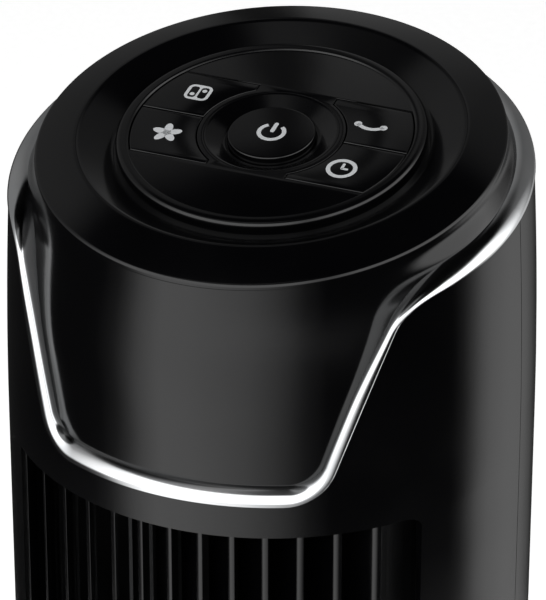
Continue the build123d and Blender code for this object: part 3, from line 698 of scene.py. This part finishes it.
def openingRows(low, high, halfWidth, corner, steps):  # (height, half width) up an opening with round corners
    turns = [math.pi / 2 * i / steps for i in range(steps + 1)]
    bend = [(corner * (1 - math.cos(t)), halfWidth - corner * (1 - math.sin(t))) for t in turns]
    return [(low + rise, half) for rise, half in bend] + [(high - rise, half) for rise, half in bend[::-1]]


def frontShell():
    topLoop = shieldLoop(inward(0.0), trim["height"] + trim["gap"])[:frontCount]
    columns = sorted((math.degrees(math.atan2(y, x)) % 360, z) for x, y, z in topLoop)
    corner = grille["corner"]
    tangent = math.degrees(math.asin((grille["halfWidth"] - corner) / column["radius"]))
    for angle in (270 - tangent, 270 + tangent):
        columns.append((angle, interpolated(angle, columns)))
        columns.sort()
    angles = [a for a, _ in columns]
    leftCount = angles.index(270 - tangent) + 1
    shares = [(a - angles[0]) / (angles[leftCount - 1] - angles[0]) for a in angles[:leftCount]]
    rightAngles = [a for a in angles if a >= 270 + tangent]
    rightShares = [(angles[-1] - a) / (angles[-1] - rightAngles[0]) for a in rightAngles]

    below = [[columnPoint(a, z) for a in angles] for z in footRows() + [grille["bottom"]]]
    rows = openingRows(grille["bottom"], grille["top"], grille["halfWidth"], corner, grille["cornerSteps"])
    left, right = [], []
    for z, half in rows:
        edge = math.degrees(math.asin(half / column["radius"]))
        left.append([columnPoint(angles[0] + (270 - edge - angles[0]) * s, z) for s in shares])
        right.append([columnPoint(angles[-1] - (angles[-1] - 270 - edge) * s, z) for s in rightShares])
    bands = 8
    above = [[columnPoint(a, grille["top"] + (z - grille["top"]) * i / bands) for a, z in columns]
             for i in range(bands + 1)]
    return thickened(joined(patch(below), patch(left), patch(right), patch(above)), column["wall"])


def grilleBlade(across):
    angle = math.asin(across / column["radius"])
    turn = angle + math.radians(grille["slant"])
    backwards = Vector((-math.sin(turn), math.cos(turn)))
    sideways = Vector((math.cos(turn), math.sin(turn)))
    edge = Vector((math.sin(angle), -math.cos(angle))) * column["radius"]
    half = grille["thickness"] / 2
    length = grille["depth"] + column["wall"]

    def side(offset):  # one face of the blade, from the housing's surface inwards
        line = []
        for i in range(grille["bladeSteps"] + 1):
            t = i / grille["bladeSteps"]
            bow = grille["bow"] * 4 * t * (1 - t)
            line.append(edge + backwards * (length * t - column["wall"]) + sideways * (bow + offset))
        out = [p for p in line if p.length >= column["radius"]]
        keep = [p for p in line if p.length < column["radius"]]
        a, b = out[-1], keep[0]
        share = (a.length - column["radius"]) / (a.length - b.length)
        return [a.lerp(b, share)] + keep

    one, two = side(-half), side(half)
    blunt = grille["round"] / math.tan(math.radians(45 + grille["slant"] / 2))  # length that the round takes
    beyond = [p for p in one[1:] if (p - one[0]).length > blunt + grille["edge"]]
    corners = [(*one[0], blunt), (*two[0], grille["edge"])] + [(*p, 0) for p in two[1:] + beyond[::-1]]
    outline = softened(corners, grille["softSteps"])
    low = [(x, y, grille["bottom"] - grille["lap"]) for x, y in outline]
    high = [(x, y, grille["top"] + grille["lap"]) for x, y in outline]
    points, faces = loft([low, high])
    count = len(outline)
    return points, faces + [tuple(range(count))[::-1], tuple(range(count, 2 * count))]


def grilleBlades():
    count = round(2 * grille["halfWidth"] / grille["pitch"]) - 1
    shapes = [grilleBlade((i - (count - 1) / 2) * grille["pitch"]) for i in range(count)]
    inner = column["radius"] - grille["depth"] * math.cos(math.radians(grille["slant"]))
    outer = inner + grille["braceWidth"]
    span = math.degrees(math.asin(grille["halfWidth"] / column["radius"]))
    step = (grille["top"] - grille["bottom"]) / (grille["braces"] + 1)
    for brace in range(1, grille["braces"] + 1):
        low = grille["bottom"] + step * brace
        high = low + grille["braceHeight"]
        corners = [(inner, low), (outer, low), (outer, high), (inner, high)]
        loops = []
        for i in range(grille["braceSteps"] + 1):
            a = math.radians(270 - span + 2 * span * i / grille["braceSteps"])
            loops.append([(r * math.cos(a), r * math.sin(a), z) for r, z in corners])
        points, faces = loft(loops)
        last = len(points) - 4
        shapes.append((points, faces + [(3, 2, 1, 0), (last, last + 1, last + 2, last + 3)]))
    return joined(*shapes)


slots = {
    "bottom": 187.1, "pitch": 10.0, "height": 3.4, "rows": 57,
    "span": 32.0, "post": 6.0, "columns": 4, "fall": 2.2,
}


def rearShell():
    topLoop = shieldLoop(inward(0.0), trim["height"] + trim["gap"])[frontCount:]
    columns = list(zip(rearAngles, [z for _, _, z in topLoop]))
    pitch = slots["span"] + slots["post"]
    centres = [90 + pitch * (i - (slots["columns"] - 1) / 2) for i in range(slots["columns"])]

    def inSlot(angle):
        return any(abs(angle - centre) < slots["span"] / 2 for centre in centres)

    shapes = []
    heights = footRows() + [slots["bottom"]]
    shapes.append(patch([[columnPoint(a, z) for a in rearAngles] for z in heights]))
    pairs = list(zip(rearAngles, rearAngles[1:]))
    spans, run = [], [rearAngles[0]]
    for a, b in pairs:  # stretches of wall between the slots
        if inSlot((a + b) / 2):
            if len(run) > 1:
                spans.append(run)
            run = [b]
        else:
            run.append(b)
    spans.append(run)
    for row in range(slots["rows"]):
        low = slots["bottom"] + slots["pitch"] * row
        high = low + slots["height"]
        for span in spans:
            shapes.append(patch([[columnPoint(a, z) for a in span] for z in (low, high)]))
        if row < slots["rows"] - 1:
            rest = (high, low + slots["pitch"])
            shapes.append(patch([[columnPoint(a, z) for a in rearAngles] for z in rest]))
    last = slots["bottom"] + slots["pitch"] * (slots["rows"] - 1) + slots["height"]
    halfHeight, halfWidth = grip["height"] / 2 + grip["gap"], grip["width"] / 2 + grip["gap"]
    low, high = grip["middle"] - halfHeight, grip["middle"] + halfHeight
    lowRows = [last, column["shoulder"], low]
    shapes.append(patch([[columnPoint(a, z) for a in rearAngles] for z in lowRows]))
    first = rearAngles.index(gripTangent)
    beside = rearAngles[:first + 1]
    shares = [(a - beside[0]) / (beside[-1] - beside[0]) for a in beside]
    right, left = [], []
    for z, half in openingRows(low, high, halfWidth, grip["corner"] + grip["gap"], grip["cornerSteps"]):
        edge = math.degrees(math.acos(half / radiusAt(z)))
        if z in (low, high):
            edge = gripTangent
        right.append([columnPoint(beside[0] + (edge - beside[0]) * s, z) for s in shares])
        left.append([columnPoint(180 - beside[0] - (edge - beside[0]) * s, z) for s in shares])
    bands = 6
    above = [[columnPoint(a, high + (z - high) * i / bands) for a, z in columns] for i in range(bands + 1)]
    points, faces = thickened(joined(*shapes, patch(right), patch(left), patch(above)), column["wall"])
    for i in range(len(points) // 2, len(points)):  # the slots fall inwards, which hides the floor behind
        x, y, z = points[i]
        if slots["bottom"] - weld < z < last + weld:
            points[i] = (x, y, z - slots["fall"])
    return points, faces


def roundedBox(x, y, width, height, corner, steps=5):
    points = []
    for quarter, (sx, sy) in enumerate([(1, 1), (-1, 1), (-1, -1), (1, -1)]):
        for i in range(steps + 1):
            a = math.pi / 2 * (quarter + i / steps)
            points.append((x + sx * (width / 2 - corner) + corner * math.cos(a),
                           y + sy * (height / 2 - corner) + corner * math.sin(a)))
    return points


def handleCup():
    turns, levels = grip["cornerSteps"], grip["levelSteps"]

    def outline(inset):
        corner = max(grip["corner"] - inset, grip["leastCorner"])
        width, height = grip["width"] - 2 * inset, grip["height"] - 2 * inset
        box = roundedBox(0.0, grip["middle"], width, height, corner, turns)
        points = []
        for i, (x, z) in enumerate(box):
            points.append((x, z))
            if i in (turns, 3 * turns + 2):  # the long level sides follow the curved housing
                points += [(x + (box[i + 1][0] - x) * k / levels, z) for k in range(1, levels)]
        return points

    def onShell(points, sink=0.0):
        return [(x, math.sqrt((radiusAt(z) - sink) ** 2 - x ** 2), z) for x, z in points]

    def level(points, depth):
        return [(x, depth, z) for x, z in points]

    back = column["radius"] - grip["depth"]
    wall, soft, edge, lip = grip["wall"], grip["floorSoft"], grip["edgeSoft"], grip["lipSoft"]
    floor = back + wall
    part = soft * grip["floorBend"]
    loops = [level(outline(0), back), onShell(outline(0), edge), onShell(outline(edge)),
             onShell(outline(wall - lip)), onShell(outline(wall), lip), level(outline(wall), floor + soft),
             level(outline(wall + part), floor + part), level(outline(wall + soft), floor)]
    points, faces = loft(loops)
    count = len(loops[0])
    last = len(points) - count
    return points, faces + [tuple(range(count)), tuple(range(last, last + count))]


def bar(x0, y0, x1, y1, width, steps=6):  # stroke with round ends
    along = Vector((x1 - x0, y1 - y0))
    heading = math.atan2(along.y, along.x)
    points = []
    for (x, y), start in (((x1, y1), heading - math.pi / 2), ((x0, y0), heading + math.pi / 2)):
        for i in range(steps + 1):
            a = start + math.pi * i / steps
            points.append((x + width / 2 * math.cos(a), y + width / 2 * math.sin(a)))
    return points


def bowStroke(x, y, radius, start, end, width, steps=28):  # arc of a circle drawn as a stroke
    angles = [math.radians(start + (end - start) * i / steps) for i in range(steps + 1)]
    outer = [(x + (radius + width / 2) * math.cos(a), y + (radius + width / 2) * math.sin(a)) for a in angles]
    inner = [(x + (radius - width / 2) * math.cos(a), y + (radius - width / 2) * math.sin(a)) for a in angles]
    return outer + inner[::-1]


def petal(x, y, angle, length, width, lean, steps=20):
    points = []
    for t in roundAngles(steps):
        reach = (1 + math.cos(t)) / 2
        a, b = length * reach, width / 2 * math.sin(t) + lean * length * reach
        points.append((x + a * math.cos(angle) - b * math.sin(angle),
                       y + a * math.sin(angle) + b * math.cos(angle)))
    return points


signs = {  # places and sizes on the panel, angles anticlockwise from the right
    "line": 1.35, "proud": 0.06,
    "power": {"at": (0.0, 0.0), "radius": 4.0, "start": 125, "end": 415, "barLow": 0.6, "barHigh": 4.5},
    "speed": {"at": (-31.4, -10.2), "petals": 5, "length": 4.9, "width": 2.7, "lean": 0.12, "hub": 1.3},
    "mode": {"at": (-30.3, 13.0), "width": 8.2, "height": 8.0, "corner": 2.2, "paneAside": 1.7,
             "paneWidth": 2.7, "paneHeight": 6.0, "paneCorner": 1.0, "dot": 0.8, "dotRise": 1.2},
    "swing": {"at": (28.8, 11.6), "radius": 6.0, "half": 45, "rise": 4.6, "dot": 1.25},
    "timer": {"at": (28.3, -12.0), "radius": 4.9, "steps": 48, "hand": 0.9, "minute": 2.3, "hour": 1.7},
}


def powerSign(look):
    x, y = look["at"]
    ringStroke = bowStroke(x, y, look["radius"], look["start"], look["end"], signs["line"])
    return [[ringStroke], [bar(x, y + look["barLow"], x, y + look["barHigh"], signs["line"])]]


def speedSign(look):
    x, y = look["at"]
    angles = [math.radians(90 + 360 / look["petals"] * i) for i in range(look["petals"])]
    petals = [[petal(x, y, a, look["length"], look["width"], look["lean"])] for a in angles]
    return petals + [[circle(x, y, look["hub"])]]


def modeSign(look):
    x, y = look["at"]
    aside, rise = look["paneAside"], look["dotRise"]
    frameLine = [roundedBox(x, y, look["width"], look["height"], look["corner"])]
    for side in (-1, 1):
        frameLine.append(roundedBox(x + side * aside, y, look["paneWidth"], look["paneHeight"],
                                    look["paneCorner"]))
    return [frameLine] + [[circle(x + side * aside, y + side * rise, look["dot"])] for side in (-1, 1)]


def swingSign(look):
    x, y = look["at"]
    y += look["rise"]
    radius, half = look["radius"], look["half"]
    strokes = [[bowStroke(x, y, radius, 270 - half, 270 + half, signs["line"])]]
    for side in (-1, 1):
        a = math.radians(side * half)
        strokes.append([circle(x + radius * math.sin(a), y - radius * math.cos(a), look["dot"])])
    return strokes


def timerSign(look):
    x, y = look["at"]
    outer, steps = look["radius"], look["steps"]
    face = [circle(x, y, radius, steps) for radius in (outer, outer - signs["line"])]
    ends = [(x, y + look["minute"]), (x + look["hour"], y)]
    return [face] + [[bar(x, y, endX, endY, look["hand"])] for endX, endY in ends]


def signShape(strokes, top):
    low, high = top - signs["proud"], top + signs["proud"]
    return joined(*[flatShape(stroke, low, high, 0.0) for stroke in strokes])


dressNodes()
makePiece("top_ring_moulding", topRing(), nodes=["top_ring"], sharp=40)
makePiece("head_shell_moulding", headShell(), nodes=["head_shell"], sharp=40)
makePiece("trim_strip_chromed", trimStrip(), slot="chromed_abs", nodes=["trim_strip"])
print("head and trim built")
makePiece("front_shell_moulding", frontShell(), nodes=["front_shell"])
makePiece("grille_blades", grilleBlades())
makePiece("rear_shell_moulding", rearShell(), nodes=["rear_shell"])
makePiece("handle_cup_moulding", handleCup(), slot="satin_black_abs", nodes=["handle_cup"])
print("shells and grille built")
makePiece("control_panel_moulding", controlPanel(), nodes=["control_panel"])
keys = {
    "speed": (-1, "keyFront", "keySplit", speedSign), "mode": (-1, "keySplit", "keyBack", modeSign),
    "timer": (1, "keyFront", "keySplit", timerSign), "swing": (1, "keySplit", "keyBack", swingSign),
}
for name, (side, front, back, sign) in keys.items():
    body = name + " key"
    makePiece(name + "_key_cap", pushKey(side, panel[front], panel[back]), body, nodes=[name + "_key"])
    makePiece(name + "_key_sign", signShape(sign(signs[name]), panel["top"]), body, slot=None)
makePiece("power_button_cap", powerButton(), "power button", nodes=["power_button"], sharp=40)
makePiece("power_button_sign", signShape(powerSign(signs["power"]), power["top"]), "power button", slot=None)
print("control panel built")


stageSize = {  # in m
    "floorRadius": 9.0, "floorSegments": 96, "drapeRadius": 1.15, "drapeFoot": 0.001, "drapeHeight": 1.7,
    "ceilingRadius": 0.92, "ceiling": 2.6, "middle": 0.01, "segments": 72,
}
paper = {"dark": "#e9e9e9", "light": "#efefef", "fibreMm": 6, "glow": 0.58}


def shownAsIs(tree):  # 1 for the rays that show the background to the eye, straight or by way of the object
    light = addNode(tree, "ShaderNodeLightPath")
    seen = addNode(tree, "ShaderNodeMath", {"operation": "MAXIMUM"},
                   {0: light.outputs["Is Camera Ray"], 1: light.outputs["Is Glossy Ray"]})
    shown = addNode(tree, "ShaderNodeMath", {"operation": "MAXIMUM"},
                    {0: seen.outputs[0], 1: light.outputs["Is Transmission Ray"]})
    return shown.outputs[0]


def stageFloor():  # uncoated paper: pale and matt, faint fibres
    material, tree = startMaterial("pale_paper_floor")
    place = addNode(tree, "ShaderNodeTexCoord").outputs["Object"]
    fibre = addNode(tree, "ShaderNodeTexNoise", {"Scale": perMm(paper["fibreMm"]), "Detail": 2.0},
                    {"Vector": place})
    stops = [(0.3, linear(paper["dark"])), (0.7, linear(paper["light"]))]
    colour = addNode(tree, "ShaderNodeValToRGB", {"stops": stops}, {"Fac": fibre.outputs["Fac"]})
    sheet = addNode(tree, "ShaderNodeBsdfDiffuse", links={"Color": colour.outputs["Color"]})
    level = addNode(tree, "ShaderNodeMath", {"operation": "MULTIPLY", 1: paper["glow"]}, {0: shownAsIs(tree)})
    glow = addNode(tree, "ShaderNodeEmission", links={"Strength": level.outputs[0]})
    both = addNode(tree, "ShaderNodeAddShader", links={0: sheet.outputs[0], 1: glow.outputs[0]})
    finishMaterial(tree, both)
    mesh = bpy.data.meshes.new("stage_floor")
    work = bmesh.new()
    bmesh.ops.create_circle(work, cap_ends=True, segments=stageSize["floorSegments"],
                            radius=stageSize["floorRadius"])
    work.to_mesh(mesh)
    work.free()
    mesh.materials.append(material)
    floor = bpy.data.objects.new("stage_floor", mesh)
    bpy.context.scene.collection.objects.link(floor)


# Dark drapes with paler openings round the fan, as (azimuth from the front to the right, level): below,
# beside and over the head. change and fade are the heights in m between which one row goes over to the next.
drapes = {
    "low": [(-180, 0.05), (-160, 0.015), (-75, 0.015), (-58, 0.02), (-49, 0.11), (-43, 0.38), (-37, 0.88),
            (-27, 1.42), (-14, 1.40), (0, 1.2), (11, 1.0), (23, 0.62), (36, 0.12), (46, 0.01), (104, 0.01),
            (110, 0.10), (115, 0.35), (121, 0.72), (128, 0.84), (140, 0.72), (159, 0.38), (168, 0.2),
            (180, 0.05)],
    "high": [(-180, 0.10), (-163, 0.20), (-159, 0.20), (-157, 0.03), (-153.5, 0.02), (-151, 0.14),
             (-135, 0.12), (-115, 0.2), (-95, 0.2), (-75, 0.35), (-60, 0.9), (-45, 1.5), (0, 1.7), (28, 1.6),
             (42, 0.9), (58, 1.5), (75, 1.5), (125, 1.5), (139, 0.5), (152, 0.12), (180, 0.10)],
    "ceiling": [(-180, 0.0), (-100, 0.0), (-70, 0.05), (-45, 0.2), (-15, 0.2), (5, 0.08), (20, 0.05),
                (40, 0.02), (90, 0.0), (180, 0.0)],
    "change": (0.66, 0.84), "fade": (1.95, 2.25),
}


def stageDrapes():  # only glossy rays see the drapes, as streaks on the black plastic
    material, tree = startMaterial("studio_drapes")
    place = addNode(tree, "ShaderNodeTexCoord").outputs["Object"]
    axes = addNode(tree, "ShaderNodeSeparateXYZ", links={0: place})
    front = addNode(tree, "ShaderNodeMath", {"operation": "MULTIPLY", 1: -1.0}, {0: axes.outputs["Y"]})
    angle = addNode(tree, "ShaderNodeMath", {"operation": "ARCTAN2"},
                    {0: axes.outputs["X"], 1: front.outputs[0]})
    turn = addNode(tree, "ShaderNodeMapRange", {"From Min": -math.pi, "From Max": math.pi},
                   {"Value": angle.outputs[0]})

    def openings(row):
        stops = [(azimuth / 360 + 0.5, (level, level, level, 1.0)) for azimuth, level in drapes[row]]
        ramp = addNode(tree, "ShaderNodeValToRGB", {"stops": stops}, {"Fac": turn.outputs["Result"]})
        return ramp.outputs["Color"]

    def over(heights, lower, upper):  # goes from one row to the next between two heights
        rise = addNode(tree, "ShaderNodeMapRange",
                       {"interpolation_type": "SMOOTHSTEP", "From Min": heights[0], "From Max": heights[1]},
                       {"Value": axes.outputs["Z"]})
        both = addNode(tree, "ShaderNodeMix", {"data_type": "RGBA"},
                       {0: rise.outputs["Result"], 6: lower, 7: upper})
        return both.outputs[2]

    walls = over(drapes["change"], openings("low"), openings("high"))
    every = over(drapes["fade"], walls, openings("ceiling"))
    finishMaterial(tree, addNode(tree, "ShaderNodeEmission", {"Strength": 1.0}, {"Color": every}))
    outline = [(stageSize["drapeRadius"], stageSize["drapeFoot"]),
               (stageSize["drapeRadius"], stageSize["drapeHeight"]),
               (stageSize["ceilingRadius"], stageSize["ceiling"]),
               (stageSize["middle"], stageSize["ceiling"])]
    angles = roundAngles(stageSize["segments"])
    points, faces = loft([[(r * math.cos(a), r * math.sin(a), z) for a in angles] for r, z in outline])
    mesh = bpy.data.meshes.new("stage_drapes")
    mesh.from_pydata(points, [], faces)
    mesh.materials.append(material)
    tent = bpy.data.objects.new("stage_drapes", mesh)
    bpy.context.scene.collection.objects.link(tent)
    tent.visible_camera = tent.visible_diffuse = tent.visible_shadow = False
    tent.visible_transmission = tent.visible_volume_scatter = False


worldLevel = {"fill": 0.35, "shown": 1.0}


def studioWorld():
    world = bpy.data.worlds.new("studio")
    bpy.context.scene.world = world
    world.use_nodes = True
    tree = world.node_tree
    tree.nodes.clear()
    level = addNode(tree, "ShaderNodeMapRange", {"To Min": worldLevel["fill"], "To Max": worldLevel["shown"]},
                    {"Value": shownAsIs(tree)})
    back = addNode(tree, "ShaderNodeBackground", {"Color": (1.0, 1.0, 1.0, 1.0)},
                   {"Strength": level.outputs["Result"]})
    addNode(tree, "ShaderNodeOutputWorld", links={"Surface": back.outputs[0]})


lamps = {  # azimuth from the front to the right, height angle, distance in m, size in m, watts
    "keySoftbox": (-25, 46, 2.2, 1.3, 24.0),
    "rightSoftbox": (70, 40, 2.2, 1.0, 12.0),
    "leftSoftbox": (-122, 46, 2.2, 1.1, 3.4),
}
lampAim = 0.6  # height in m that the lamps face


def around(azimuth, elevation, distance, target):
    a, e = math.radians(azimuth), math.radians(elevation)
    back = Vector((math.sin(a) * math.cos(e), -math.cos(a) * math.cos(e), math.sin(e)))
    return target + back * distance, (-back).to_track_quat("-Z", "Y")


def studioLamps():
    for name, (azimuth, elevation, distance, size, watts) in lamps.items():
        lamp = bpy.data.lights.new(name, "AREA")
        lamp.shape = "SQUARE"
        lamp.size = size
        lamp.energy = watts
        holder = bpy.data.objects.new(name, lamp)
        holder.rotation_mode = "QUATERNION"
        aim = Vector((0, 0, lampAim))
        holder.location, holder.rotation_quaternion = around(azimuth, elevation, distance, aim)
        bpy.context.scene.collection.objects.link(holder)


shot = {
    "azimuth": 22.28, "elevation": 28.80, "distance": 1.4, "lens": 262.7, "sensor": 36.0,
    "targetHeight": 847.9, "aside": 0.36, "clip": (0.05, 60.0),
}


def studioCamera():
    camera = bpy.data.objects.new("camera", bpy.data.cameras.new("camera"))
    camera.data.sensor_width = shot["sensor"]
    camera.data.lens = shot["lens"]
    camera.data.clip_start, camera.data.clip_end = shot["clip"]
    azimuth, aside = shot["azimuth"], shot["aside"] * mm
    a = math.radians(azimuth)
    target = Vector((math.cos(a) * aside, math.sin(a) * aside, shot["targetHeight"] * mm))
    place, facing = around(azimuth, shot["elevation"], shot["distance"], target)
    camera.rotation_mode = "QUATERNION"
    camera.location, camera.rotation_quaternion = place, facing
    bpy.context.scene.collection.objects.link(camera)
    bpy.context.scene.camera = camera


stageFloor()
stageDrapes()
studioWorld()
studioLamps()
studioCamera()
bpy.context.scene.view_settings.view_transform = "Standard"
print("studio set")
